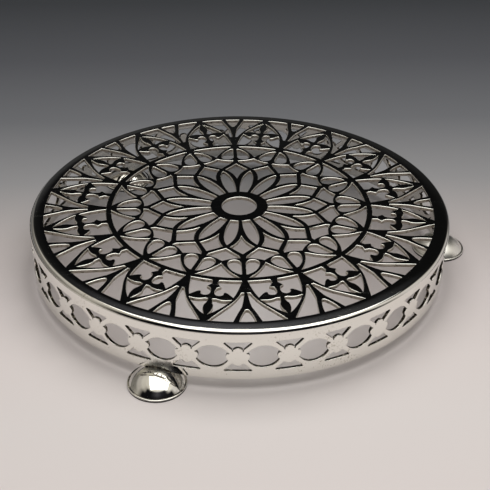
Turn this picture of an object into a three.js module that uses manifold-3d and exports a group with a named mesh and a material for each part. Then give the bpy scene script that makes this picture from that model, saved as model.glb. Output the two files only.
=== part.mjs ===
// A round silver teapot stand: a plate pierced with Gothic tracery, a pierced gallery
// under its edge and three low domed feet. Millimetres, +Z up, resting on z = 0.
import * as THREE from 'three';
import { mergeVertices } from 'three/addons/utils/BufferGeometryUtils.js';
import Module from 'manifold-3d';

// Heights
const GROUND_CLEARANCE = 4.8;
const GALLERY_HEIGHT = 19.1;
const PLATE_THICKNESS = 1.4;

// Plate and its rings, as radii and widths
const PLATE_RADIUS = 82;
const RIM_WIDTH = 5.8;
const EDGE_ROUND_WIDTH = 2.1;
const EDGE_LIP = 0.25;
const MID_RING_RADIUS = 50.1;
const MID_RING_WIDTH = 2.1;
const CENTRE_RING_WIDTH = 4.4;
const CENTRE_HOLE_RADIUS = 6.95;

// Tracery
const SECTORS = 16;
const RIB_WIDTH = 1.5;
const TEARDROP_RADIUS = 2.64;

// Gallery wall and its piercing
const PLATE_OVERHANG = 0.5;
const GALLERY_WALL = 1.2;
const GALLERY_MOTIFS = 29;
const GALLERY_TURN = THREE.MathUtils.degToRad(-2.5);
const PIERCED_HEIGHT = 12.4;
const GALLERY_BAR = 1.48;
const BOSS_RADIUS = 4;
const BOSS_CORNER_WIDTH = 3.2;
const BOSS_CORNER_HEIGHT = 1.55;
const BOSS_NOTCH_SHARE = 0.65;
const BOSS_TOP_SHARE = 0.9;
const GAP_TOP_WIDTH = 4.5;
const GAP_CORNER = 0.5;
const GAP_NOTCH_WIDTH = 1.8;

// Feet, set by eye about a third of a turn apart, in degrees round from -Y towards +X
const FOOT_ANGLES = { front: -22.2, right: 94.1, left: 215.9 };
const FOOT_OUTWARD_OFFSET = 1.8;
const FOOT_RADIUS = 10.5;
const FOOT_HEIGHT = 5.9;
const FOOT_WALL = 0.8;
const SOLE_THICKNESS = 0.9;
const SOLE_EDGE = 0.3;
const SOLE_LEDGE = 0.75;
const SLOT_CLEARANCE = 0.3;

// How finely the round shapes are faceted
const RIM_STEPS = 96;
const EDGE_STEPS = 3;
const CENTRE_HOLE_STEPS = 28;
const OUTLINE_STEPS = 2;
const MOTIF_STEPS = 2;
const GAP_STEPS = 1;
const WALL_STEPS = 3;
const FOOT_STEPS = 28;
const FOOT_ARC_STEPS = 4;

const HALF_SECTOR = Math.PI / SECTORS;
const FULL_TURN = 2 * Math.PI;
const PLATE_UNDERSIDE = GROUND_CLEARANCE + GALLERY_HEIGHT;
const GALLERY_OUTER = PLATE_RADIUS - PLATE_OVERHANG;
const GALLERY_INNER = GALLERY_OUTER - GALLERY_WALL;
const RIM_INNER = PLATE_RADIUS - RIM_WIDTH;
const CUT_MARGIN = 1;

// Ring zones of the plate, each from its inner to its outer radius
const innerZone = { from: CENTRE_HOLE_RADIUS + CENTRE_RING_WIDTH, to: MID_RING_RADIUS };
const outerZone = { from: MID_RING_RADIUS + MID_RING_WIDTH, to: RIM_INNER };
const radiusAt = (zone, share) => zone.from + share * (zone.to - zone.from);
const sideAt = (zone, share, offset) => offset / (radiusAt(zone, share) * HALF_SECTOR);

const wasm = await Module();
wasm.setup();

function toSolid(geometry) {
  const bare = geometry.index ? geometry.toNonIndexed() : geometry.clone();
  bare.deleteAttribute('normal');
  bare.deleteAttribute('uv');
  const merged = mergeVertices(bare, 1e-4);
  const index = merged.index.array;
  const kept = [];
  for (let i = 0; i < index.length; i += 3) {
    const [a, b, c] = [index[i], index[i + 1], index[i + 2]];
    if (a !== b && b !== c && c !== a) kept.push(a, b, c);
  }
  const vertices = new Float32Array(merged.attributes.position.array);
  const mesh = new wasm.Mesh({ numProp: 3, vertProperties: vertices, triVerts: new Uint32Array(kept) });
  return new wasm.Manifold(mesh);
}

function toGeometry(solid) {
  const mesh = solid.getMesh();
  const geometry = new THREE.BufferGeometry();
  geometry.setAttribute('position', new THREE.BufferAttribute(new Float32Array(mesh.vertProperties), 3));
  geometry.setIndex(new THREE.BufferAttribute(new Uint32Array(mesh.triVerts), 1));
  geometry.computeVertexNormals();
  return geometry;
}

// A ring or bowl turned about Z from a profile of [radius, height] points
function turned(profile, steps) {
  const points = profile.map(([radius, height]) => new THREE.Vector2(radius, height));
  const geometry = new THREE.LatheGeometry(points, steps);
  return geometry.rotateX(Math.PI / 2);
}

function circle(radius, steps) {
  return Array.from({ length: steps }, (_, i) => {
    const angle = (i * FULL_TURN) / steps;
    return new THREE.Vector2(radius * Math.sin(angle), -radius * Math.cos(angle));
  });
}

// An outline holds points (side, share): side runs from 0 on the sector's axis to 1 on the
// next one, and share from 0 to 1 across a ring zone. Symmetric ones are drawn as one half.
const mirror = (points) => points.map(({ x, y }) => new THREE.Vector2(-x, y)).reverse();
const closeHalf = (points) => [...points, ...mirror(points).filter(({ x }) => Math.abs(x) > 1e-6)];

function petal() {
  const half = new THREE.Path().moveTo(0.71, 0);
  half.quadraticCurveTo(0.79, 0.11, 0.63, 0.214);
  half.quadraticCurveTo(0.45, 0.36, 0, 0.457);
  return half;
}

function kite() {
  const half = new THREE.Path().moveTo(0, 0.272);
  half.quadraticCurveTo(0.25, 0.394, 0.777, 0.488);
  half.lineTo(0, 0.605);
  return half;
}

function crown() {
  const half = new THREE.Path().moveTo(0, 0.515);
  half.lineTo(0.803, 0.636);
  half.lineTo(0.86, 0.674);
  half.quadraticCurveTo(0.445, 0.668, 0, 0.732);
  return half;
}

function ringTriangle() {
  const half = new THREE.Path().moveTo(0, 0.771);
  half.quadraticCurveTo(0.447, 0.922, 0.83, 1);
  half.quadraticCurveTo(0.42, 1, 0, 1);
  return half;
}

function rimTriangle() {
  const half = new THREE.Path().moveTo(0, 0.71);
  half.lineTo(0.04, 0.72);
  half.quadraticCurveTo(0.14, 0.8, 0.2, 1);
  half.quadraticCurveTo(0.1, 1, 0, 1);
  return half;
}

// A straight side along the rib, a round head and a tapering tail
function teardrop() {
  const headShare = 0.773;
  const tailShare = 0.943;
  const headRadius = radiusAt(innerZone, headShare);
  const headSide = sideAt(innerZone, headShare, RIB_WIDTH / 2 + TEARDROP_RADIUS);
  const acrossSide = TEARDROP_RADIUS / (headRadius * HALF_SECTOR);
  const acrossShare = TEARDROP_RADIUS / (innerZone.to - innerZone.from);
  const outline = new THREE.Path().moveTo(sideAt(innerZone, tailShare, RIB_WIDTH / 2), tailShare);
  outline.lineTo(sideAt(innerZone, headShare, RIB_WIDTH / 2), headShare);
  outline.absellipse(headSide, headShare, acrossSide, acrossShare, Math.PI, FULL_TURN, false);
  outline.quadraticCurveTo(0.6, 0.89, 0.138, 0.946);
  return outline;
}

// Beside the stem of the fleur-de-lis, from the middle ring to its curled side petal
function fleurInner() {
  const outline = new THREE.Path().moveTo(0.9, 0);
  outline.quadraticCurveTo(0.5, 0, 0.12, 0);
  outline.lineTo(0.09, 0.085);
  outline.lineTo(0.22, 0.165);
  outline.lineTo(0.105, 0.2);
  outline.quadraticCurveTo(0.03, 0.27, 0.07, 0.345);
  outline.quadraticCurveTo(0.14, 0.41, 0.27, 0.387);
  outline.quadraticCurveTo(0.36, 0.375, 0.35, 0.315);
  outline.quadraticCurveTo(0.4, 0.285, 0.505, 0.345);
  outline.lineTo(0.638, 0.427);
  outline.quadraticCurveTo(0.76, 0.29, 0.9, 0);
  return outline;
}

// Beside the upright petal of the fleur-de-lis, up to the point of the arch
function fleurOuter() {
  const outline = new THREE.Path().moveTo(0.605, 0.487);
  outline.quadraticCurveTo(0.35, 0.53, 0.16, 0.472);
  outline.lineTo(0.06, 0.475);
  outline.quadraticCurveTo(0.055, 0.56, 0.115, 0.62);
  outline.quadraticCurveTo(0.15, 0.72, 0.035, 0.865);
  outline.quadraticCurveTo(0.33, 0.715, 0.605, 0.487);
  return outline;
}

// Between the arch, the rim and the forked stem
function spandrel() {
  const outline = new THREE.Path().moveTo(0.05, 0.3);
  outline.lineTo(0.13, 0.3);
  outline.quadraticCurveTo(0.3, 0.5, 0.5, 0.647);
  outline.quadraticCurveTo(0.7, 0.79, 0.91, 1);
  outline.quadraticCurveTo(0.6, 1, 0.33, 1);
  outline.quadraticCurveTo(0.24, 0.8, 0.13, 0.65);
  outline.quadraticCurveTo(0.08, 0.53, 0.05, 0.3);
  return outline;
}

// Each opening of a sector: its outline, its zone and the axis it stands on, in half sectors
const OPENINGS = [
  { outline: kite, zone: innerZone, axis: 0, symmetric: true },
  { outline: teardrop, zone: innerZone, axis: 0, symmetric: false },
  { outline: petal, zone: innerZone, axis: 1, symmetric: true },
  { outline: crown, zone: innerZone, axis: 1, symmetric: true },
  { outline: ringTriangle, zone: innerZone, axis: 1, symmetric: true },
  { outline: rimTriangle, zone: outerZone, axis: 0, symmetric: true },
  { outline: spandrel, zone: outerZone, axis: 0, symmetric: false },
  { outline: fleurInner, zone: outerZone, axis: 1, symmetric: false },
  { outline: fleurOuter, zone: outerZone, axis: 1, symmetric: false },
];

function onPlate(points, zone, axisAngle) {
  return points.map(({ x: side, y: share }) => {
    const radius = radiusAt(zone, share);
    const angle = axisAngle + side * HALF_SECTOR;
    return new THREE.Vector2(radius * Math.sin(angle), -radius * Math.cos(angle));
  });
}

function traceryHoles() {
  const holes = [];
  for (const { outline, zone, axis, symmetric } of OPENINGS) {
    const points = outline().getPoints(OUTLINE_STEPS);
    const closed = points[0].equals(points.at(-1)) ? points.slice(1) : points;
    const versions = symmetric ? [closeHalf(points)] : [closed, mirror(closed)];
    for (let sector = 0; sector < SECTORS; sector += 1) {
      const axisAngle = (2 * sector + axis) * HALF_SECTOR;
      for (const version of versions) holes.push(onPlate(version, zone, axisAngle));
    }
  }
  return holes;
}

function flatSolid(outer, holes, depth) {
  const shape = new THREE.Shape(outer);
  shape.holes = holes.map((points) => new THREE.Path(points));
  return new THREE.ExtrudeGeometry(shape, { depth, bevelEnabled: false, curveSegments: 1 });
}

// The plate's flat, pierced field, joined to its rounded outer edge
function topPlate() {
  const flatRadius = PLATE_RADIUS - EDGE_ROUND_WIDTH;
  const seamRadius = (RIM_INNER + flatRadius) / 2;
  const holes = [...traceryHoles(), circle(CENTRE_HOLE_RADIUS, CENTRE_HOLE_STEPS)];
  const field = flatSolid(circle(flatRadius, RIM_STEPS), holes, PLATE_THICKNESS);
  const edge = [[seamRadius, 0], [PLATE_RADIUS - EDGE_LIP, 0]];
  for (let step = 0; step <= EDGE_STEPS; step += 1) {
    const angle = (step / EDGE_STEPS) * (Math.PI / 2);
    const radius = flatRadius + EDGE_ROUND_WIDTH * Math.cos(angle);
    edge.push([radius, EDGE_LIP + (PLATE_THICKNESS - EDGE_LIP) * Math.sin(angle)]);
  }
  edge.push([seamRadius, PLATE_THICKNESS], [seamRadius, 0]);
  return toGeometry(toSolid(field).add(toSolid(turned(edge, RIM_STEPS))));
}

// Continues a path to its end with an arc that stands off the chord, to its left, by the rise
function bow(path, end, rise) {
  const start = path.currentPoint.clone();
  const chord = end.clone().sub(start);
  const radius = (chord.lengthSq() / 4 + rise * rise) / (2 * Math.abs(rise));
  const left = new THREE.Vector2(-chord.y, chord.x).normalize();
  const reach = rise - Math.sign(rise) * radius;
  const centre = start.clone().addScaledVector(chord, 0.5).addScaledVector(left, reach);
  const from = start.clone().sub(centre).angle();
  const to = end.clone().sub(centre).angle();
  return path.absarc(centre.x, centre.y, radius, from, to, rise > 0);
}

// Gallery outlines are drawn flat: x along the wall, y up from the middle of the piercing.
// The lens has bowed top and bottom edges, and the bosses beside it swell into its ends.
function lensOutline(halfPitch) {
  const top = PIERCED_HEIGHT / 2 - GALLERY_BAR;
  const cornerX = halfPitch - BOSS_CORNER_WIDTH;
  const cornerY = BOSS_CORNER_HEIGHT;
  const swell = BOSS_RADIUS - BOSS_CORNER_WIDTH;
  const outline = new THREE.Path().moveTo(-cornerX, cornerY);
  bow(outline, new THREE.Vector2(cornerX, cornerY), top - cornerY);
  bow(outline, new THREE.Vector2(cornerX, -cornerY), -swell);
  bow(outline, new THREE.Vector2(-cornerX, -cornerY), top - cornerY);
  bow(outline, new THREE.Vector2(-cornerX, cornerY), -swell);
  return outline.getPoints(MOTIF_STEPS).slice(1);
}

// The gap above a boss: a level edge along the border, sloping sides and a swollen foot
function gapOutline() {
  const top = PIERCED_HEIGHT / 2;
  const notch = new THREE.Vector2(GAP_NOTCH_WIDTH, BOSS_RADIUS * BOSS_NOTCH_SHARE);
  const outline = new THREE.Path().moveTo(GAP_TOP_WIDTH, top);
  outline.lineTo(-GAP_TOP_WIDTH, top);
  outline.lineTo(-GAP_TOP_WIDTH - GAP_CORNER, top - GAP_CORNER);
  outline.lineTo(-notch.x, notch.y);
  bow(outline, notch, BOSS_RADIUS * BOSS_TOP_SHARE - notch.y);
  outline.lineTo(GAP_TOP_WIDTH + GAP_CORNER, top - GAP_CORNER);
  return outline.getPoints(GAP_STEPS);
}

// A prism of a gallery outline that runs out through the wall at an angle round the axis
function wallCutter(points, angle) {
  const outward = new THREE.Vector3(Math.sin(angle), -Math.cos(angle), 0);
  const along = new THREE.Vector3(Math.cos(angle), Math.sin(angle), 0);
  const place = new THREE.Matrix4().makeBasis(along, new THREE.Vector3(0, 0, 1), outward);
  place.setPosition(outward.clone().multiplyScalar(GALLERY_INNER - CUT_MARGIN));
  const prism = flatSolid(points, [], GALLERY_WALL + 2 * CUT_MARGIN);
  return toSolid(prism.applyMatrix4(place).translate(0, 0, GALLERY_HEIGHT / 2));
}

// The upright wall, pierced with lenses between bosses and gaps above and below each boss
function gallery() {
  const pitch = FULL_TURN / GALLERY_MOTIFS;
  const lens = lensOutline((GALLERY_OUTER * pitch) / 2);
  const upperGap = gapOutline();
  const lowerGap = upperGap.map(({ x, y }) => new THREE.Vector2(x, -y)).reverse();
  const wall = [[GALLERY_INNER, 0], [GALLERY_OUTER, 0], [GALLERY_OUTER, GALLERY_HEIGHT]];
  wall.push([GALLERY_INNER, GALLERY_HEIGHT], [GALLERY_INNER, 0]);
  let solid = toSolid(turned(wall, GALLERY_MOTIFS * WALL_STEPS));
  for (let motif = 0; motif < GALLERY_MOTIFS; motif += 1) {
    solid = solid.subtract(wallCutter(upperGap, motif * pitch));
    solid = solid.subtract(wallCutter(lowerGap, motif * pitch));
    solid = solid.subtract(wallCutter(lens, (motif + 0.5) * pitch));
  }
  return toGeometry(solid);
}

// Half the section of a dome's outside, or of its inside when it is drawn in by the wall:
// a shallow cap of a sphere that leaves a narrow ledge of the sole showing round it
function domeSection(drawnIn) {
  const rise = FOOT_HEIGHT - SOLE_THICKNESS;
  const crown = ((FOOT_RADIUS - SOLE_LEDGE) ** 2 + rise ** 2) / (2 * rise);
  const radius = crown - drawnIn;
  const base = Math.asin((crown - rise) / radius);
  const section = new THREE.Path();
  section.absarc(0, FOOT_HEIGHT - crown, radius, base, Math.PI / 2, false);
  return section.getPoints(FOOT_ARC_STEPS).map(({ x, y }) => [Math.abs(x) < 1e-9 ? 0 : x, y]);
}

// A hollow dome, slotted to sit astride the gallery's lower edge. Local -Y points outwards.
function footDome(centreRadius) {
  const profile = [...domeSection(FOOT_WALL).reverse(), ...domeSection(0)];
  const bottom = GROUND_CLEARANCE - SLOT_CLEARANCE;
  const top = FOOT_HEIGHT + CUT_MARGIN;
  const inside = GALLERY_INNER - SLOT_CLEARANCE;
  const outside = GALLERY_OUTER + SLOT_CLEARANCE;
  const slot = [[inside, bottom], [outside, bottom], [outside, top], [inside, top], [inside, bottom]];
  const cutter = turned(slot, GALLERY_MOTIFS * WALL_STEPS).translate(0, centreRadius, 0);
  return toGeometry(toSolid(turned(profile, FOOT_STEPS)).subtract(toSolid(cutter)));
}

// The flat disc that closes a foot, its lower edge eased
function footSole() {
  const profile = [[0, 0], [FOOT_RADIUS - SOLE_EDGE, 0], [FOOT_RADIUS, SOLE_EDGE]];
  profile.push([FOOT_RADIUS, SOLE_THICKNESS], [0, SOLE_THICKNESS]);
  return turned(profile, FOOT_STEPS);
}

function silverPiece(name, geometry) {
  const silver = new THREE.MeshStandardMaterial({ color: 0xd9d6cf, metalness: 1, roughness: 0.12 });
  const piece = new THREE.Mesh(geometry, silver);
  piece.name = name;
  return piece;
}

const stand = new THREE.Group();
const plate = silverPiece('top_plate', topPlate());
plate.position.z = PLATE_UNDERSIDE;
const band = silverPiece('gallery_band', gallery());
band.position.z = GROUND_CLEARANCE;
band.rotation.z = GALLERY_TURN;
stand.add(plate, band);

const footCentre = (GALLERY_INNER + GALLERY_OUTER) / 2 + FOOT_OUTWARD_OFFSET;
for (const [side, degrees] of Object.entries(FOOT_ANGLES)) {
  const angle = THREE.MathUtils.degToRad(degrees);
  const foot = new THREE.Group();
  foot.position.set(footCentre * Math.sin(angle), -footCentre * Math.cos(angle), 0);
  foot.rotation.z = angle;
  foot.add(silverPiece(`foot_dome_${side}`, footDome(footCentre)));
  foot.add(silverPiece(`foot_sole_${side}`, footSole()));
  stand.add(foot);
}

// The origin lies on the table, under the middle of the overall bounding box
const bounds = new THREE.Box3().setFromObject(stand, true);
const middle = bounds.getCenter(new THREE.Vector3());
stand.position.set(-middle.x, -middle.y, 0);

export default stand;
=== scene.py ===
# A round silver teapot stand: a saw-pierced plate on a pierced gallery, with three low feet.
# Lengths are drawn in millimetres and the finished pieces are placed in metres.
import math
from collections import Counter

import bpy  # noqa: E402
from mathutils import Matrix, Vector  # noqa: E402


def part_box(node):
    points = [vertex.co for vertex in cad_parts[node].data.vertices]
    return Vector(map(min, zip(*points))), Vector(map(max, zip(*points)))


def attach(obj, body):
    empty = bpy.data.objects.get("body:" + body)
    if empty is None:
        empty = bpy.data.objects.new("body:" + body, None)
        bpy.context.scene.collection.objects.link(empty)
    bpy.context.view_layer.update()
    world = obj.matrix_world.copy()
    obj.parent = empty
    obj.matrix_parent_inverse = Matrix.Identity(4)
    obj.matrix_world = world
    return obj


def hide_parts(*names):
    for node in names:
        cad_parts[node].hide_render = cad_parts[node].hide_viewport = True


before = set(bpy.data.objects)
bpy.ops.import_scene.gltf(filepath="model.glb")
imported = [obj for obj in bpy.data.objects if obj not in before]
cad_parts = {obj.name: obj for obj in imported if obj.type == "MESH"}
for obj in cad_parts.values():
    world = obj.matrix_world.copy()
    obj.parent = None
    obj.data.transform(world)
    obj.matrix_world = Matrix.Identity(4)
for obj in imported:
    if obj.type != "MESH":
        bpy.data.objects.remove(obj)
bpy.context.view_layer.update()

MM = 0.001
TURN = 2 * math.pi

plate_low, plate_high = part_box("top_plate")
band_low, band_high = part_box("gallery_band")
AXIS = (plate_low + plate_high) / 2
AXIS.z = 0

# Plate
PLATE_TOP = plate_high.z / MM
PLATE_UNDERSIDE = plate_low.z / MM
PLATE_RADIUS = 82.0
PLATE_THICKNESS = PLATE_TOP - PLATE_UNDERSIDE
RIM_INNER = 76.2
MID_RING_INNER = 50.1
MID_RING_OUTER = 52.2
CENTRE_RING_OUTER = 11.35
CENTRE_HOLE_RADIUS = 6.95
SECTORS = 16
HALF_SECTOR = math.pi / SECTORS
RIB_WIDTH = 1.5
TEARDROP_RADIUS = 2.64
INNER_ZONE = (CENTRE_RING_OUTER, MID_RING_INNER)
OUTER_ZONE = (MID_RING_OUTER, RIM_INNER)
RIM_STEPS = 240
CENTRE_HOLE_STEPS = 72

# Beyond the flat its edge curves down in three bends: radius, slope at the end, steps
FLAT_RADIUS = 77.0
RIM_BENDS = ((24.0, 8, 6), (1.4, 41, 8), (2.3, 66, 8))
# The hammered edge lies half a millimetre off the centre of the piercing, towards +X
RIM_SHIFT = 0.5

# Gallery
BAND_BOTTOM = band_low.z / MM
BAND_TOP = band_high.z / MM
BAND_OUTER = 81.5
BAND_WALL = 1.2
MOTIFS = 29
BAND_TURN = math.radians(-2.5)
PIERCED_HEIGHT = 12.4
BAND_BAR = 1.48
BOSS_RADIUS = 4.0
BOSS_CORNER = (3.2, 1.55)
BOSS_TOP = 3.65
NOTCH = (1.8, 2.6)
GAP_HALF_WIDTH = 4.5
GAP_CORNER = 0.5
SAW_HOLE_RADIUS = 0.36

# Feet
FOOT_ANGLES = {"front": -22.2, "right": 94.1, "left": 215.9}
FOOT_CENTRE = BAND_OUTER - BAND_WALL / 2 + 1.8
FOOT_RADIUS = 10.5
FOOT_HEIGHT = 5.9
FOOT_WALL = 0.8
SOLE_THICKNESS = 0.9
SOLE_EDGE_ROUND = 0.35
# The solid's edge is faceted, so the smooth one is drawn this much inside it
SOLE_TRIM = 0.03
DOME_RADIUS = FOOT_RADIUS - 0.75
DOME_RISE = FOOT_HEIGHT - SOLE_THICKNESS
DOME_SPHERE = (DOME_RADIUS ** 2 + DOME_RISE ** 2) / (2 * DOME_RISE)
SLOT_GAP = 0.02
SLOT_STEPS = 720
BEAD_RADIUS = 0.3
BEAD_STEP = 0.14
BEAD_PROUD = 0.05

# Years of polishing have rounded the edges of the saw cuts, drawn in steps of these degrees
EDGE_EASE = 0.25
BAND_EASE = 0.18
EASE_DEPTH = 1.1
UPPER_EASE_STEPS = (0, 18, 36, 54, 72, 90)
LOWER_EASE_STEPS = (90, 60, 30, 0)
# The piercing is sawn this much smaller than drawn, and the easing opens it again
PIERCING_SHRINK = 0.12

# Where a seam is closed, points nearer to each other than this are one point
SEAM_GAP = 2e-3
# A ring this small stands for a point
POINT_RADIUS = 1e-3


def show_only(piece):
    bpy.ops.object.select_all(action="DESELECT")
    piece.select_set(True)
    bpy.context.view_layer.objects.active = piece


def place(piece, origin=AXIS, turn=0.0, lift=0.0):
    """Turns a piece drawn in millimetres about Z, moves it to its place and applies both."""
    show_only(piece)
    piece.scale = (MM, MM, MM)
    piece.rotation_euler = (0, 0, turn)
    piece.location = (origin.x, origin.y, lift * MM)
    bpy.ops.object.transform_apply(location=True, rotation=True, scale=True)


def settle(piece, smooth_degrees=40, doubles=1e-4):
    """Merges doubled points, turns the faces outwards and smooths all but the sharp edges."""
    show_only(piece)
    bpy.ops.object.mode_set(mode="EDIT")
    bpy.ops.mesh.select_all(action="SELECT")
    bpy.ops.mesh.remove_doubles(threshold=doubles)
    bpy.ops.mesh.normals_make_consistent(inside=False)
    bpy.ops.object.mode_set(mode="OBJECT")
    bpy.ops.object.shade_smooth_by_angle(angle=math.radians(smooth_degrees))


def flatten_shading(piece):
    """Faces that lie truly level keep a flat shade, so that they mirror like a sheet."""
    for face in piece.data.polygons:
        if abs(face.normal.z) > 0.9999:
            face.use_smooth = False


def pick_open_edges(piece, test):
    """Selects the open edges whose two ends pass the test."""
    mesh = piece.data
    used = Counter(key for face in mesh.polygons for key in face.edge_keys)
    for part in (mesh.vertices, mesh.edges, mesh.polygons):
        part.foreach_set("select", [False] * len(part))
    for edge in mesh.edges:
        ends = [mesh.vertices[i].co for i in edge.vertices]
        edge.select = used[edge.key] == 1 and all(test(end) for end in ends)
    bpy.context.tool_settings.mesh_select_mode = (False, True, False)


# Outlines. A stroke is a point (line to it) or a control point and a point (curve to it).
def drawn(start, *strokes, steps=5):
    points = [start]
    for stroke in strokes:
        if len(stroke) == 2:
            points.append(stroke)
            continue
        (x0, y0), (cx, cy, x1, y1) = points[-1], stroke
        for i in range(1, steps + 1):
            t = i / steps
            a, b, c = (1 - t) ** 2, 2 * t * (1 - t), t * t
            points.append((a * x0 + b * cx + c * x1, a * y0 + b * cy + c * y1))
    return points


def bowed(start, end, rise, steps=8):
    """Points after start on an arc to end that stands off the chord, to its left, by rise."""
    start, end = Vector(start), Vector(end)
    chord = end - start
    left = Vector((-chord.y, chord.x)).normalized()
    radius = (chord.length_squared / 4 + rise * rise) / (2 * abs(rise))
    side = 1 if rise > 0 else -1
    centre = (start + end) / 2 + left * (rise - side * radius)
    half = math.asin(min(1.0, chord.length / 2 / radius))
    if abs(rise) > radius:
        half = math.pi - half
    points = []
    for i in range(1, steps + 1):
        angle = -half + 2 * half * i / steps
        across = chord.normalized() * (radius * math.sin(angle))
        points.append(tuple(centre + across + left * (side * radius * math.cos(angle))))
    return points


def mirrored(points):
    return [(-x, y) for x, y in reversed(points)]


def whole(half):
    """The whole of a symmetric outline from its right half."""
    return half + [(x, y) for x, y in mirrored(half) if abs(x) > 1e-6]


def eased(outline, grow):
    """The outline moved sideways into the metal on its left by grow, its sharp tips held back."""
    moved = []
    for i, point in enumerate(outline):
        here = Vector(point)
        before = (here - Vector(outline[i - 1])).normalized()
        after = (Vector(outline[(i + 1) % len(outline)]) - here).normalized()
        left = Vector((-before.y - after.y, before.x + after.x))
        corner = max(left.length_squared / 2, 0.5)
        moved.append(tuple(here + left * (grow / corner)))
    return moved


def signed_area(outline):
    pairs = zip(outline, outline[1:] + outline[:1])
    return sum(x0 * y1 - x1 * y0 for (x0, y0), (x1, y1) in pairs) / 2


def filled(name, outlines):
    """A flat face inside the first outline and outside the others."""
    curve = bpy.data.curves.new(name, "CURVE")
    curve.dimensions = "2D"
    curve.fill_mode = "BOTH"
    for outline in outlines:
        spline = curve.splines.new("POLY")
        spline.points.add(len(outline) - 1)
        for point, (x, y) in zip(spline.points, outline):
            point.co = (x, y, 0, 1)
        spline.use_cyclic_u = True
    return meshed(name, curve)


def meshed(name, curve):
    """Turns a curve into a mesh object."""
    piece = bpy.data.objects.new(name, curve)
    bpy.context.scene.collection.objects.link(piece)
    show_only(piece)
    bpy.ops.object.convert(target="MESH")
    return bpy.context.view_layer.objects.active


def cut_sheet(name, outlines, thickness, ease, rim=True):
    """A sheet sawn to closed outlines in millimetres, the first outside, its edges eased.

    Without a rim the outside of the sheet is left open. The saw cuts take the second material."""
    wound = []
    for i, outline in enumerate(outlines):
        turned = outline if (signed_area(outline) > 0) == (i == 0) else outline[::-1]
        wound.append(eased(turned, -PIERCING_SHRINK) if i else turned)
    piece = filled(name, [eased(outline, ease) for outline in wound])
    top = thickness / 2
    face = [tuple(v.co.xy) for v in piece.data.vertices]
    cap = [tuple(f.vertices) for f in piece.data.polygons]
    points = [(x, y, top) for x, y in face] + [(x, y, -top) for x, y in face]
    faces = cap + [tuple(i + len(face) for i in reversed(f)) for f in cap]
    levels = []
    for side, steps in ((1, UPPER_EASE_STEPS), (-1, LOWER_EASE_STEPS)):
        for angle in map(math.radians, steps):
            sunk = ease * EASE_DEPTH * (1 - math.cos(angle))
            levels.append((ease * (1 - math.sin(angle)), side * (top - sunk)))
    saw_cut_level = len(UPPER_EASE_STEPS) - 1
    sawn = []
    for i, outline in enumerate(wound):
        if i == 0 and not rim:
            continue
        count = len(outline)
        start = len(points)
        for grow, z in levels:
            points += [(x, y, z) for x, y in eased(outline, grow)]
        for level in range(len(levels) - 1):
            row = start + level * count
            for j in range(count):
                a, b = row + j, row + (j + 1) % count
                if level >= saw_cut_level:
                    sawn.append(len(faces))
                faces.append((a, a + count, b + count, b))
    mesh = bpy.data.meshes.new(name)
    mesh.from_pydata(points, [], faces)
    for i in sawn:
        mesh.polygons[i].material_index = 1
    piece.data = mesh
    return piece


def raised(name, profile, around=96):
    """A round piece raised ring by ring from a circle, through points (radius, height)."""
    bpy.ops.object.select_all(action="DESELECT")
    (radius, height), rest = profile[0], profile[1:]
    bpy.ops.mesh.primitive_circle_add(
        vertices=around, radius=max(radius, POINT_RADIUS), location=(0, 0, 0),
        fill_type="NOTHING",
    )
    piece = bpy.context.active_object
    piece.name = name
    bpy.ops.object.mode_set(mode="EDIT")
    bpy.ops.mesh.select_all(action="SELECT")
    bpy.ops.transform.translate(value=(0, 0, height))
    if radius < POINT_RADIUS:
        bpy.ops.mesh.edge_face_add()
    for next_radius, next_height in rest:
        bpy.ops.mesh.extrude_region_move(
            TRANSFORM_OT_translate={"value": (0, 0, next_height - height)}
        )
        share = max(next_radius, POINT_RADIUS) / max(radius, POINT_RADIUS)
        bpy.ops.transform.resize(value=(share, share, 1), center_override=(0, 0, 0))
        radius, height = next_radius, next_height
    if radius < POINT_RADIUS:
        bpy.ops.mesh.edge_face_add()
    bpy.ops.object.mode_set(mode="OBJECT")
    return piece


def on_plate(points, zone, axis_angle):
    """From (side, share) in a ring zone of a sector to millimetres on the plate."""
    placed = []
    for side, share in points:
        radius = zone[0] + share * (zone[1] - zone[0])
        angle = axis_angle + side * HALF_SECTOR
        placed.append((radius * math.sin(angle), -radius * math.cos(angle)))
    return placed


def teardrop():
    """A teardrop beside a rib, its round head inside and its pointed tail towards the ring."""
    head, tail = 0.773, 0.943
    head_radius = INNER_ZONE[0] + head * (INNER_ZONE[1] - INNER_ZONE[0])
    tail_radius = INNER_ZONE[0] + tail * (INNER_ZONE[1] - INNER_ZONE[0])
    across = TEARDROP_RADIUS / (head_radius * HALF_SECTOR)
    along = TEARDROP_RADIUS / (INNER_ZONE[1] - INNER_ZONE[0])
    straight = RIB_WIDTH / 2 / (head_radius * HALF_SECTOR)
    outline = [(RIB_WIDTH / 2 / (tail_radius * HALF_SECTOR), tail)]
    for i in range(15):
        angle = math.pi + math.pi * i / 14
        outline.append(
            (straight + across * (1 + math.cos(angle)), head + along * math.sin(angle))
        )
    return drawn(outline[-1], (0.6, 0.89, 0.138, 0.946), steps=8)[1:] + outline


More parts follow.
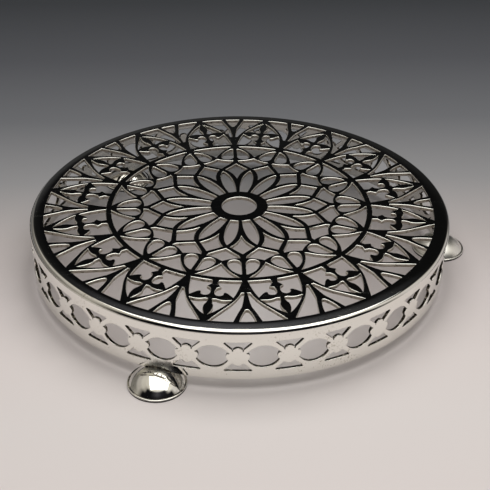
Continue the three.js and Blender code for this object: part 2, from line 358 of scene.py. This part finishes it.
KITE = drawn((0, 0.272), (0.25, 0.394, 0.777, 0.488), (0, 0.605), steps=8)
PETAL = drawn((0.71, 0), (0.79, 0.11, 0.63, 0.214), (0.45, 0.36, 0, 0.457), steps=8)
CROWN = drawn((0, 0.515), (0.803, 0.636), (0.86, 0.674), (0.445, 0.668, 0, 0.732), steps=6)
RING_TRIANGLE = drawn((0, 0.771), (0.447, 0.922, 0.83, 1), (0.42, 1, 0, 1), steps=6)
RIM_TRIANGLE = drawn((0, 0.71), (0.04, 0.72), (0.14, 0.8, 0.2, 1), (0.1, 1, 0, 1))
FLEUR_INNER = drawn(
    (0.9, 0), (0.5, 0, 0.12, 0), (0.09, 0.085), (0.22, 0.165), (0.105, 0.2),
    (0.03, 0.27, 0.07, 0.345), (0.14, 0.41, 0.27, 0.387), (0.36, 0.375, 0.35, 0.315),
    (0.4, 0.285, 0.505, 0.345), (0.638, 0.427), (0.76, 0.29, 0.9, 0),
)[1:]
FLEUR_OUTER = drawn(
    (0.605, 0.487), (0.35, 0.53, 0.16, 0.472), (0.06, 0.475), (0.055, 0.56, 0.115, 0.62),
    (0.15, 0.72, 0.035, 0.865), (0.33, 0.715, 0.605, 0.487),
)[1:]
SPANDREL = drawn(
    (0.05, 0.3), (0.13, 0.3), (0.3, 0.5, 0.5, 0.647), (0.7, 0.79, 0.91, 1),
    (0.6, 1, 0.33, 1), (0.24, 0.8, 0.13, 0.65), (0.08, 0.53, 0.05, 0.3),
)[1:]
# Outline, zone, whether it stands on a rib (0) or between two (1), whether it has a twin
OPENINGS = [
    (whole(KITE), INNER_ZONE, 0, False),
    (teardrop(), INNER_ZONE, 0, True),
    (whole(PETAL), INNER_ZONE, 1, False),
    (whole(CROWN), INNER_ZONE, 1, False),
    (whole(RING_TRIANGLE), INNER_ZONE, 1, False),
    (whole(RIM_TRIANGLE), OUTER_ZONE, 0, False),
    (SPANDREL, OUTER_ZONE, 0, True),
    (FLEUR_INNER, OUTER_ZONE, 1, True),
    (FLEUR_OUTER, OUTER_ZONE, 1, True),
]


def ring_outline(radius, steps):
    angles = [TURN * i / steps for i in range(steps)]
    return [(radius * math.sin(a), -radius * math.cos(a)) for a in angles]


def rim_profile():
    """Points (radius, height) from the edge of the flat, round the three bends, to below."""
    top = PLATE_THICKNESS / 2
    profile = [(FLAT_RADIUS, top)]
    start = 0.0
    for bend, end, steps in RIM_BENDS:
        (from_radius, from_height), end = profile[-1], math.radians(end)
        for i in range(1, steps + 1):
            slope = start + (end - start) * i / steps
            out = bend * (math.sin(slope) - math.sin(start))
            down = bend * (math.cos(start) - math.cos(slope))
            profile.append((from_radius + out, from_height - down))
        start = end
    return profile + [(profile[-1][0], -top), (FLAT_RADIUS - EDGE_EASE, -top)]


def pierced_plate():
    outlines = [
        ring_outline(FLAT_RADIUS, RIM_STEPS), ring_outline(CENTRE_HOLE_RADIUS, CENTRE_HOLE_STEPS)
    ]
    for points, zone, axis, paired in OPENINGS:
        for sector in range(SECTORS):
            angle = (2 * sector + axis) * HALF_SECTOR
            outlines.append(on_plate(points, zone, angle))
            if paired:
                outlines.append(on_plate(mirrored(points), zone, angle))
    plate = cut_sheet("pierced_plate", outlines, PLATE_THICKNESS, EDGE_EASE, rim=False)
    settle(plate)
    # The open upper edge of the flat is drawn out ring by ring. By two thirds of the way the
    # rings have moved to the rim's own centre
    pick_open_edges(plate, lambda point: point.z > 0)
    bpy.ops.object.mode_set(mode="EDIT")
    radius, height, shift = FLAT_RADIUS - EDGE_EASE, PLATE_THICKNESS / 2, 0.0
    for next_radius, next_height in rim_profile():
        out = (next_radius - FLAT_RADIUS) / (PLATE_RADIUS - FLAT_RADIUS)
        next_shift = RIM_SHIFT * min(1.0, max(0.0, out) * 1.5)
        bpy.ops.mesh.extrude_region_move(
            TRANSFORM_OT_translate={"value": (next_shift - shift, 0, next_height - height)}
        )
        share = next_radius / radius
        bpy.ops.transform.resize(value=(share, share, 1), center_override=(next_shift, 0, 0))
        radius, height, shift = next_radius, next_height, next_shift
    bpy.ops.object.mode_set(mode="OBJECT")
    settle(plate, doubles=SEAM_GAP)
    flatten_shading(plate)
    place(plate, lift=(PLATE_TOP + PLATE_UNDERSIDE) / 2)
    return plate


def saw_turn(before, corner, after, radius=SAW_HOLE_RADIUS, steps=6):
    """Points round the small hole left at a corner where the saw blade was turned."""
    corner = Vector(corner)
    start, end = [(Vector(p) - corner).to_2d() for p in (before, after)]
    first = math.atan2(start.y, start.x)
    inside = (math.atan2(end.y, end.x) - first + math.pi) % TURN - math.pi
    sweep = inside - math.copysign(TURN, inside)
    angles = [first + sweep * i / steps for i in range(steps + 1)]
    return [(corner.x + radius * math.cos(a), corner.y + radius * math.sin(a)) for a in angles]


def lens_outline(half_pitch):
    """The hole between two bosses, with small holes where the saw turned at the upper corners."""
    top = PIERCED_HEIGHT / 2 - BAND_BAR
    x, y = half_pitch - BOSS_CORNER[0], BOSS_CORNER[1]
    swell = BOSS_RADIUS - BOSS_CORNER[0]
    corners = [(-x, y), (x, y), (x, -y), (-x, -y)]
    arcs = [
        bowed(corners[0], corners[1], top - y, 14), bowed(corners[1], corners[2], -swell, 8),
        bowed(corners[2], corners[3], top - y, 14), bowed(corners[3], corners[0], -swell, 8),
    ]
    points = arcs[0][:-1] + saw_turn(arcs[0][-2], corners[1], arcs[1][0])
    points += arcs[1] + arcs[2]
    points += arcs[3][:-1] + saw_turn(arcs[3][-2], corners[0], arcs[0][0])
    return points


def gap_outline(turned):
    """The gap over a boss, cut round its top. A turned one has holes where the saw turned."""
    top = PIERCED_HEIGHT / 2
    x, y = NOTCH
    side = (GAP_HALF_WIDTH + GAP_CORNER, top - GAP_CORNER)
    points = [(GAP_HALF_WIDTH, top), (-GAP_HALF_WIDTH, top), (-side[0], side[1])]
    boss = bowed((-x, y), (x, y), BOSS_TOP - y, 8)
    if turned:
        points += saw_turn(points[-1], (-x, y), boss[0])
        points += boss[:-1] + saw_turn(boss[-2], boss[-1], side)
    else:
        points += [(-x, y)] + boss
    return points + [side]


def pierced_gallery():
    pitch = BAND_OUTER * TURN / MOTIFS
    height = BAND_TOP - BAND_BOTTOM
    # A flat strip wide enough that the middle motif and its neighbours are whole
    reach = 1.6 * pitch
    outer = [(-reach, -height / 2), (reach, -height / 2)]
    outlines = [outer + [(reach, height / 2), (-reach, height / 2)]]
    for x in (-pitch, 0, pitch):
        for sign in (1, -1):
            outlines.append([(px + x, py * sign) for px, py in gap_outline(sign > 0)])
    for x in (-0.5 * pitch, 0.5 * pitch):
        outlines.append([(px + x, py) for px, py in lens_outline(pitch / 2)])
    band = cut_sheet("pierced_gallery", outlines, BAND_WALL, BAND_EASE)
    settle(band)
    # Half a motif is cut out of the flat strip, in slices narrow enough to follow the bend
    bpy.ops.object.mode_set(mode="EDIT")
    slices = 6
    for i in range(slices + 1):
        bpy.ops.mesh.select_all(action="SELECT")
        bpy.ops.mesh.bisect(
            plane_co=(pitch / 2 * i / slices, 0, 0), plane_no=(1, 0, 0),
            clear_inner=i == 0, clear_outer=i == slices, threshold=1e-5,
        )
    bpy.ops.object.mode_set(mode="OBJECT")
    mirror = band.modifiers.new("the other half", "MIRROR")
    mirror.merge_threshold = SEAM_GAP
    bpy.ops.object.modifier_apply(modifier=mirror.name)
    array = band.modifiers.new("motifs round the band", "ARRAY")
    array.count = MOTIFS
    array.use_relative_offset = False
    array.use_constant_offset = True
    array.constant_offset_displace = (pitch, 0, 0)
    array.use_merge_vertices = True
    array.merge_threshold = SEAM_GAP
    bpy.ops.object.modifier_apply(modifier=array.name)
    # The strip is bent to a ring
    for vertex in band.data.vertices:
        x, y, z = vertex.co
        angle = x / BAND_OUTER
        radius = BAND_OUTER - BAND_WALL / 2 + z
        vertex.co = (radius * math.sin(angle), -radius * math.cos(angle), y)
    settle(band, doubles=SEAM_GAP)
    place(band, turn=BAND_TURN, lift=(BAND_TOP + BAND_BOTTOM) / 2)
    return band


def dome_profile(drawn_in=0.0, steps=18):
    """A shallow cap of a sphere, from its lower edge to its crown."""
    radius = DOME_SPHERE - drawn_in
    base = math.asin((DOME_SPHERE - DOME_RISE) / radius)
    middle = FOOT_HEIGHT - DOME_SPHERE
    points = []
    for i in range(steps + 1):
        angle = base + (math.pi / 2 - base) * i / steps
        points.append((radius * math.cos(angle), middle + radius * math.sin(angle)))
    return points


def foot_places():
    for side, degrees in FOOT_ANGLES.items():
        angle = math.radians(degrees)
        outwards = Vector((math.sin(angle), -math.cos(angle), 0))
        yield side, angle, AXIS + outwards * FOOT_CENTRE * MM


def foot_dome(side, angle, spot):
    dome = raised(f"domed_foot_{side}", dome_profile(FOOT_WALL)[::-1] + dome_profile())
    settle(dome)
    low, high = BAND_BOTTOM - SLOT_GAP, FOOT_HEIGHT + 1
    inside, outside = BAND_OUTER - BAND_WALL - SLOT_GAP, BAND_OUTER + SLOT_GAP
    slot = [(inside, low), (outside, low), (outside, high), (inside, high), (inside, low)]
    cutter = raised("slot", slot, around=SLOT_STEPS)
    settle(cutter)
    cutter.location = (0, FOOT_CENTRE, 0)
    show_only(cutter)
    bpy.ops.object.transform_apply(location=True, rotation=False, scale=False)
    show_only(dome)
    cut = dome.modifiers.new("slot for the gallery", "BOOLEAN")
    cut.object = cutter
    cut.solver = "EXACT"
    bpy.ops.object.modifier_apply(modifier=cut.name)
    bpy.data.objects.remove(cutter)
    settle(dome)
    place(dome, origin=spot, turn=angle)
    return dome


def foot_sole(side, angle, spot):
    radius = FOOT_RADIUS - SOLE_TRIM
    profile = [(0, 0), (radius, 0)]
    for i in range(7):
        bend = math.pi / 2 * i / 6
        profile.append((
            radius - SOLE_EDGE_ROUND * (1 - math.cos(bend)),
            SOLE_THICKNESS - SOLE_EDGE_ROUND * (1 - math.sin(bend)),
        ))
    profile.append((0, SOLE_THICKNESS))
    sole = raised(f"closed_foot_{side}", profile)
    settle(sole)
    place(sole, origin=spot, turn=angle)
    return sole


def solder_seam(side, angle, spot):
    """A thin, uneven bead of solder along the line where the dome meets the gallery."""
    curve = bpy.data.curves.new(f"solder_seam_{side}", "CURVE")
    curve.dimensions = "3D"
    curve.bevel_depth = BEAD_RADIUS
    curve.bevel_resolution = 3
    curve.use_fill_caps = True
    middle = FOOT_HEIGHT - DOME_SPHERE
    seam = []
    for i in range(-40, 41):
        across = i * BEAD_STEP
        depth = FOOT_CENTRE - math.sqrt(BAND_OUTER ** 2 - across ** 2)
        height = middle + math.sqrt(DOME_SPHERE ** 2 - across ** 2 - depth ** 2)
        if height > BAND_BOTTOM:
            seam.append((across, depth, height))
    spline = curve.splines.new("POLY")
    spline.points.add(len(seam) - 1)
    for i, (point, (across, depth, height)) in enumerate(zip(spline.points, seam)):
        point.co = (across, depth - BEAD_PROUD, height + BEAD_PROUD, 1)
        point.radius = 1.0 + 0.3 * math.sin(i * 1.7) + 0.2 * math.sin(i * 0.63 + 1)
    bead = meshed(f"solder_seam_{side}", curve)
    settle(bead, smooth_degrees=60)
    place(bead, origin=spot, turn=angle)
    return bead


def linear(hex_colour):
    channels = [int(hex_colour[i:i + 2], 16) / 255 for i in (1, 3, 5)]
    return (*[c / 12.92 if c <= 0.04045 else ((c + 0.055) / 1.055) ** 2.4 for c in channels], 1)


def add(tree, kind, settings=None, links=None):
    """Adds a node, sets its properties and inputs, and links sources into its inputs."""
    node = tree.nodes.new(kind)
    for key, value in (settings or {}).items():
        if isinstance(key, str) and hasattr(node, key):
            setattr(node, key, value)
        else:
            node.inputs[key].default_value = value
    for key, source in (links or {}).items():
        tree.links.new(source, node.inputs[key])
    return node


def paint_stops(ramp, low, high, stops):
    """Sets a ramp's colours at places given between low and high."""
    while len(ramp.elements) < len(stops):
        ramp.elements.new(0.5)
    for element, (at, colour) in zip(ramp.elements, stops):
        element.position = (at - low) / (high - low)
        element.color = linear(colour)


def new_material(name):
    material = bpy.data.materials.new(name)
    material.use_nodes = True
    material.node_tree.nodes.clear()
    return material, material.node_tree


def wiped(tree, spot, rough):
    """Adds hairlines from wiping, under 0.4 mm wide and up to 17 mm long, in two directions."""
    for turn in (25, -50):
        swept = add(
            tree, "ShaderNodeMapping",
            {"Rotation": (0, 0, math.radians(turn)), "Scale": (60, 2600, 60)}, {"Vector": spot},
        )
        streak = add(
            tree, "ShaderNodeTexNoise", {"Scale": 1.0, "Detail": 1.0},
            {"Vector": swept.outputs["Vector"]},
        )
        hairline = add(
            tree, "ShaderNodeMapRange",
            {"From Min": 0.68, "From Max": 0.8, "To Min": 0.0, "To Max": 0.16},
            {"Value": streak.outputs["Fac"]},
        )
        rough = add(
            tree, "ShaderNodeMath", {"operation": "ADD"},
            {0: rough, 1: hairline.outputs["Result"]},
        ).outputs["Value"]
    return rough


def satin_at_feet(tree, spot, rough, satin):
    """Leaves the corner above each foot satin, where the polishing wheel can't reach."""
    for _, _, foot in foot_places():
        corner = AXIS + (foot - AXIS) * (BAND_OUTER / FOOT_CENTRE) + Vector((0, 0, 7.5 * MM))
        reach = add(tree, "ShaderNodeVectorMath", {"operation": "DISTANCE", 1: corner}, {0: spot})
        left = add(
            tree, "ShaderNodeMapRange",
            {"From Min": 3.5 * MM, "From Max": 6.5 * MM, "To Min": satin, "To Max": 0.0},
            {"Value": reach.outputs["Value"]},
        )
        rough = add(
            tree, "ShaderNodeMath", {"operation": "ADD"}, {0: rough, 1: left.outputs["Result"]},
        ).outputs["Value"]
    return rough


def tarnished(tree, spot):
    """The colour of silver with specks of tarnish under 1 mm, gathered in 13 mm patches."""
    speck = add(
        tree, "ShaderNodeTexNoise", {"Scale": 1500.0, "Detail": 3.0, "Roughness": 0.7},
        {"Vector": spot},
    )
    patch = add(tree, "ShaderNodeTexNoise", {"Scale": 75.0, "Detail": 2.0}, {"Vector": spot})
    patchy = add(
        tree, "ShaderNodeMapRange",
        {"From Min": 0.54, "From Max": 0.68, "To Min": 0.0, "To Max": 0.1},
        {"Value": patch.outputs["Fac"]},
    )
    depth = add(
        tree, "ShaderNodeMath", {"operation": "ADD"},
        {0: speck.outputs["Fac"], 1: patchy.outputs["Result"]},
    )
    colour = add(tree, "ShaderNodeValToRGB", links={"Fac": depth.outputs["Value"]})
    paint_stops(colour.color_ramp, 0, 1, [
        (0.65, "#F3F2EC"), (0.74, "#C4BFB2"), (0.84, "#7A7364"),
    ])
    return colour.outputs["Color"]


def paint_contact_shade_and_joint(tree, spot, colour):
    """Paints shade on a foot's lower edge as a dark line, and a faint dark line on its joint."""
    height = add(tree, "ShaderNodeSeparateXYZ", links={"Vector": spot}).outputs["Z"]
    share = add(tree, "ShaderNodeMapRange", {"From Max": 2.0 * MM}, {"Value": height})
    tone = add(tree, "ShaderNodeValToRGB", links={"Fac": share.outputs["Result"]})
    # Painted contact shade: near black up to 0.5 mm, white by 0.62 mm; the faint line near 0.94
    # mm is the joint of dome and sole
    paint_stops(tone.color_ramp, 0, 2, [
        (0, "#14110E"), (0.5, "#1E1A15"), (0.62, "#FFFFFF"), (0.88, "#FFFFFF"),
        (0.94, "#958F83"), (1.04, "#FFFFFF"),
    ])
    return add(
        tree, "ShaderNodeMix", {"data_type": "RGBA", "blend_type": "MULTIPLY", "Factor": 1.0},
        {6: colour, 7: tone.outputs["Color"]},
    ).outputs[2]


def polished_silver(name, dulled=0.0, satin=0.0, contact_shade_and_joint=False):
    # Sterling silver, polished by hand: a warm white mirror under fine hairline scratches
    material, tree = new_material(name)
    spot = add(tree, "ShaderNodeTexCoord").outputs["Object"]
    # Waves of about 11 mm left by the hammer, and patches of wear of about 4 mm
    wave = add(tree, "ShaderNodeTexNoise", {"Scale": 90.0, "Detail": 2.0}, {"Vector": spot})
    wear = add(tree, "ShaderNodeTexNoise", {"Scale": 260.0, "Detail": 6.0}, {"Vector": spot})
    rough = add(
        tree, "ShaderNodeMapRange",
        {
            "From Min": 0.35, "From Max": 0.75,
            "To Min": 0.03 + dulled, "To Max": 0.09 + dulled,
        },
        {"Value": wear.outputs["Fac"]},
    ).outputs["Result"]
    rough = wiped(tree, spot, rough)
    if satin:
        rough = satin_at_feet(tree, spot, rough, satin)
    colour = tarnished(tree, spot)
    if contact_shade_and_joint:
        colour = paint_contact_shade_and_joint(tree, spot, colour)
    bump = add(
        tree, "ShaderNodeBump", {"Strength": 0.12, "Distance": 0.4 * MM},
        {"Height": wave.outputs["Fac"]},
    )
    shader = add(
        tree, "ShaderNodeBsdfPrincipled", {"Metallic": 1.0},
        {"Base Color": colour, "Roughness": rough, "Normal": bump.outputs["Normal"]},
    )
    add(tree, "ShaderNodeOutputMaterial", links={"Surface": shader.outputs["BSDF"]})
    return material


def saw_cut_silver(name, stops):
    # Silver as the piercing saw left it: matt, with dirt in spots of one or two millimetres
    material, tree = new_material(name)
    spot = add(tree, "ShaderNodeTexCoord").outputs["Object"]
    dirt = add(
        tree, "ShaderNodeTexNoise", {"Scale": 700.0, "Detail": 4.0, "Roughness": 0.7},
        {"Vector": spot},
    )
    tone = add(tree, "ShaderNodeValToRGB", links={"Fac": dirt.outputs["Fac"]})
    paint_stops(tone.color_ramp, 0, 1, stops)
    grain = add(
        tree, "ShaderNodeBump", {"Strength": 0.3, "Distance": 0.1 * MM},
        {"Height": dirt.outputs["Fac"]},
    )
    shader = add(
        tree, "ShaderNodeBsdfPrincipled", {"Metallic": 1.0, "Roughness": 0.38},
        {"Base Color": tone.outputs["Color"], "Normal": grain.outputs["Normal"]},
    )
    add(tree, "ShaderNodeOutputMaterial", links={"Surface": shader.outputs["BSDF"]})
    return material


def torch_solder(name):
    # Hard silver solder, left as it ran: grey, with dark pits about a millimetre apart
    material, tree = new_material(name)
    spot = add(tree, "ShaderNodeTexCoord").outputs["Object"]
    pits = add(
        tree, "ShaderNodeTexNoise", {"Scale": 900.0, "Detail": 5.0, "Roughness": 0.7},
        {"Vector": spot},
    )
    tone = add(tree, "ShaderNodeValToRGB", links={"Fac": pits.outputs["Fac"]})
    paint_stops(tone.color_ramp, 0, 1, [(0.44, "#14110D"), (0.56, "#4C463D"), (0.68, "#C9C2B4")])
    bump = add(
        tree, "ShaderNodeBump", {"Strength": 0.6, "Distance": 0.2 * MM},
        {"Height": pits.outputs["Fac"]},
    )
    shader = add(
        tree, "ShaderNodeBsdfPrincipled", {"Metallic": 1.0, "Roughness": 0.3},
        {"Base Color": tone.outputs["Color"], "Normal": bump.outputs["Normal"]},
    )
    add(tree, "ShaderNodeOutputMaterial", links={"Surface": shader.outputs["BSDF"]})
    return material


def give(piece, *materials):
    """Gives a piece its materials. Clearing resets its faces, so a new piece isn't cleared."""
    if piece.data.materials:
        piece.data.materials.clear()
    for material in materials:
        piece.data.materials.append(material)


silver = polished_silver("hand-polished sterling silver")
band_silver = polished_silver("hand-polished sterling silver strip", satin=0.22)
# The feet carry painted contact shade along their lower edges, and a faint dark line on their
# joint
foot_silver = polished_silver("hand-polished raised sterling silver", contact_shade_and_joint=True)
dulled_silver = polished_silver("hand-worn raised sterling silver", dulled=0.24, contact_shade_and_joint=True)
saw_cut = saw_cut_silver("saw-cut sterling silver", [
    (0.34, "#5A544A"), (0.44, "#A8A196"), (0.6, "#BDB6AB"),
])
tarnished_cut = saw_cut_silver("tarnished saw-cut sterling silver", [
    (0.45, "#1C1813"), (0.55, "#514B40"), (0.65, "#CFC7B8"),
])
solder = torch_solder("torch-run silver solder")

plate = pierced_plate()
give(plate, silver, saw_cut)
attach(plate, "root")
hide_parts("top_plate")

band = pierced_gallery()
give(band, band_silver, tarnished_cut)
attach(band, "root")
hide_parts("gallery_band")

for side, angle, spot in foot_places():
    for piece, node in (
        (foot_dome(side, angle, spot), f"foot_dome_{side}"),
        (foot_sole(side, angle, spot), f"foot_sole_{side}"),
    ):
        give(piece, dulled_silver if side == "right" else foot_silver)
        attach(piece, "root")
        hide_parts(node)
    bead = solder_seam(side, angle, spot)
    give(bead, solder)
    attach(bead, "root")

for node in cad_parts.values():
    give(node, silver)


PAPER_FRONT, PAPER_BACK = -150, 350


def graded_paper():
    # A sheet of backdrop paper, pale in front and grading to slate behind
    material, tree = new_material("graded backdrop paper")
    where = add(tree, "ShaderNodeTexCoord").outputs["Object"]
    split = add(tree, "ShaderNodeSeparateXYZ", links={"Vector": where})
    share = add(
        tree, "ShaderNodeMapRange",
        {"From Min": PAPER_FRONT * MM, "From Max": PAPER_BACK * MM},
        {"Value": split.outputs["Y"]},
    )
    ramp = add(tree, "ShaderNodeValToRGB", links={"Fac": share.outputs["Result"]})
    paint_stops(ramp.color_ramp, PAPER_FRONT, PAPER_BACK, [
        (-125, "#DBD3D0"), (-94, "#D9D2CF"), (-62, "#D6CECB"), (-25, "#C9C1BF"),
        (18, "#B0A9A7"), (69, "#8D8C8D"), (131, "#6A6B6E"), (207, "#525357"),
        (300, "#3D3F42"),
    ])
    # Painted light: near a spot 40 mm in front of the stand, the paper is painted up to 28%
    # nearer white, a pool of lamp light
    reach = add(
        tree, "ShaderNodeVectorMath",
        {"operation": "DISTANCE", 1: AXIS - Vector((0, 40 * MM, 0))}, {0: where},
    )
    painted_pool = add(
        tree, "ShaderNodeMapRange",
        {"From Min": 8 * MM, "From Max": 50 * MM, "To Min": 0.28, "To Max": 0.0},
        {"Value": reach.outputs["Value"]},
    )
    paper = add(
        tree, "ShaderNodeMix", {"data_type": "RGBA", 7: (1, 1, 1, 1)},
        {"Factor": painted_pool.outputs["Result"], 6: ramp.outputs["Color"]},
    )
    shader = add(
        tree, "ShaderNodeBsdfPrincipled", {"Roughness": 0.9, "Specular IOR Level": 0.1},
        {"Base Color": paper.outputs[2]},
    )
    add(tree, "ShaderNodeOutputMaterial", links={"Surface": shader.outputs["BSDF"]})
    return material


bpy.ops.object.select_all(action="DESELECT")
bpy.ops.mesh.primitive_plane_add(size=6, location=(0, 0, 0))
floor = bpy.context.active_object
floor.name = "table"
give(floor, graded_paper())

scene = bpy.context.scene
scene.view_settings.view_transform = "Standard"

SOFTBOX_SIZE = (0.7, 0.75)


def hang_softbox(spot, brightness):
    """Hangs a warm white softbox level over the stand, its face of the given brightness."""
    bpy.ops.object.light_add(type="AREA", location=spot)
    lamp = bpy.context.active_object
    lamp.data.shape = "RECTANGLE"
    lamp.data.size, lamp.data.size_y = SOFTBOX_SIZE
    lamp.data.energy = brightness * math.pi * SOFTBOX_SIZE[0] * SOFTBOX_SIZE[1]
    lamp.data.color = (1.0, 0.99, 0.97)
    return lamp


SOFTBOX_SPOT = AXIS + Vector((0.05, -0.025, 0.6))
hang_softbox(SOFTBOX_SPOT, 1.35)
# The same softbox again for the table alone: the silver already mirrors it bright enough
hang_softbox(SOFTBOX_SPOT + Vector((0, 0.05, 0)), 2.0).visible_glossy = False

# Colours round the room at three heights, by compass heading in degrees: north 0, east 90
LOW_WALLS = [
    (-180, "#0E0E0F"), (-116, "#0E0E0F"), (-106, "#7C776F"), (-97, "#A39E94"),
    (-88, "#928D84"), (-75, "#7A766F"), (-40, "#716D68"), (-27, "#6E6C6A"),
    (-22, "#3A3A3B"), (20, "#1C1C1C"), (38, "#232222"), (50, "#B0ABA7"),
    (78, "#C9C3BF"), (92, "#C7C1BD"), (103, "#8A867F"), (113, "#0E0E0F"),
]
MIDDLE_WALLS = [
    (-180, "#2A292B"), (-165, "#1C1B1D"), (-150, "#0E0E10"), (-113, "#101011"),
    (-104, "#7E7A72"), (-92, "#ACA69E"), (-60, "#B0AAA3"), (-32, "#A6A199"),
    (-26, "#5C5A57"), (-20, "#161616"), (-10, "#0C0C0D"), (20, "#0D0D0D"),
    (50, "#141413"), (62, "#8A867F"), (74, "#CCC6C0"), (102, "#D4CEC8"),
    (110, "#8A8680"), (114, "#141415"), (160, "#1A191B"), (180, "#2A292B"),
]
HIGH_WALLS = [
    (-180, "#464448"), (-165, "#302F32"), (-150, "#101012"), (-124, "#121213"),
    (-117, "#8E8980"), (-100, "#BDB7AC"), (-60, "#C6C0B5"), (-32, "#B8B3A9"),
    (-26, "#7C7974"), (-22, "#1A1A1B"), (0, "#505054"), (14, "#3C3C3E"),
    (30, "#141415"), (55, "#1C1B1B"), (72, "#6A6660"), (86, "#E2DDD2"),
    (118, "#EDE8DE"), (130, "#8A8680"), (138, "#1C1B1D"), (160, "#252427"),
    (180, "#464448"),
]


def studio_room():
    # A plain studio: a dim even light, and in mirrors a dark backdrop, pale sides and ceiling
    world = bpy.data.worlds.new("studio room")
    world.use_nodes = True
    tree = world.node_tree
    tree.nodes.clear()
    where = add(tree, "ShaderNodeTexCoord").outputs["Generated"]
    split = add(tree, "ShaderNodeSeparateXYZ", links={"Vector": where})
    east, north, up = split.outputs
    heading = add(tree, "ShaderNodeMath", {"operation": "ARCTAN2"}, {0: east, 1: north})
    turn = add(
        tree, "ShaderNodeMapRange", {"From Min": -math.pi, "From Max": math.pi},
        {"Value": heading.outputs["Value"]},
    )
    heights = []
    for stops in (LOW_WALLS, MIDDLE_WALLS, HIGH_WALLS):
        ramp = add(tree, "ShaderNodeValToRGB", links={"Fac": turn.outputs["Result"]})
        paint_stops(ramp.color_ramp, -180, 180, stops)
        heights.append(ramp.outputs["Color"])
    # They blend into each other as the view climbs, by the sine of its elevation
    walls, middle, high = heights
    for upper, start, end in ((middle, 0.36, 0.48), (high, 0.6, 0.7)):
        climb = add(
            tree, "ShaderNodeMapRange", {"From Min": start, "From Max": end}, {"Value": up}
        )
        walls = add(
            tree, "ShaderNodeMix", {"data_type": "RGBA"},
            {"Factor": climb.outputs["Result"], 6: walls, 7: upper},
        ).outputs[2]
    side = add(tree, "ShaderNodeMapRange", {"From Min": -0.3, "From Max": 0.3}, {"Value": east})
    ceiling = add(
        tree, "ShaderNodeMix",
        {"data_type": "RGBA", 6: linear("#CBC5B9"), 7: linear("#F6F2EA")},
        {"Factor": side.outputs["Result"]},
    )
    rise = add(
        tree, "ShaderNodeMapRange",
        {"interpolation_type": "SMOOTHSTEP", "From Min": 0.79, "From Max": 0.86}, {"Value": up},
    )
    room = add(
        tree, "ShaderNodeMix", {"data_type": "RGBA"},
        {"Factor": rise.outputs["Result"], 6: walls, 7: ceiling.outputs[2]},
    )
    ray = add(tree, "ShaderNodeLightPath")
    beyond = add(
        tree, "ShaderNodeMix",
        {"data_type": "RGBA", 6: (0.1, 0.1, 0.1, 1), 7: (0.5, 0.5, 0.5, 1)},
        {"Factor": ray.outputs["Is Camera Ray"]},
    )
    shown = add(
        tree, "ShaderNodeMix", {"data_type": "RGBA"},
        {"Factor": ray.outputs["Is Glossy Ray"], 6: beyond.outputs[2], 7: room.outputs[2]},
    )
    light = add(tree, "ShaderNodeBackground", {"Strength": 1.0}, {"Color": shown.outputs[2]})
    add(tree, "ShaderNodeOutputWorld", links={"Surface": light.outputs["Background"]})
    return world


scene.world = studio_room()

# The photograph's camera, fitted to the rings and ribs of the plate
CAMERA_SPOT = AXIS + Vector((-15.27, -368.86, 243.98)) * MM
CAMERA_AIM = AXIS + Vector((1.06, -28.65, 25.3)) * MM
CAMERA_ROLL = 0.0080
CAMERA_LENS = 80.0
bpy.ops.object.camera_add(location=CAMERA_SPOT)
camera = bpy.context.active_object
camera.data.sensor_width = 36
camera.data.lens = CAMERA_LENS
heading = (CAMERA_AIM - CAMERA_SPOT).to_track_quat("-Z", "Y").to_matrix()
camera.rotation_euler = (heading @ Matrix.Rotation(CAMERA_ROLL, 3, "Z")).to_euler()
camera.data.clip_start = 0.01
camera.data.clip_end = 50
scene.camera = camera
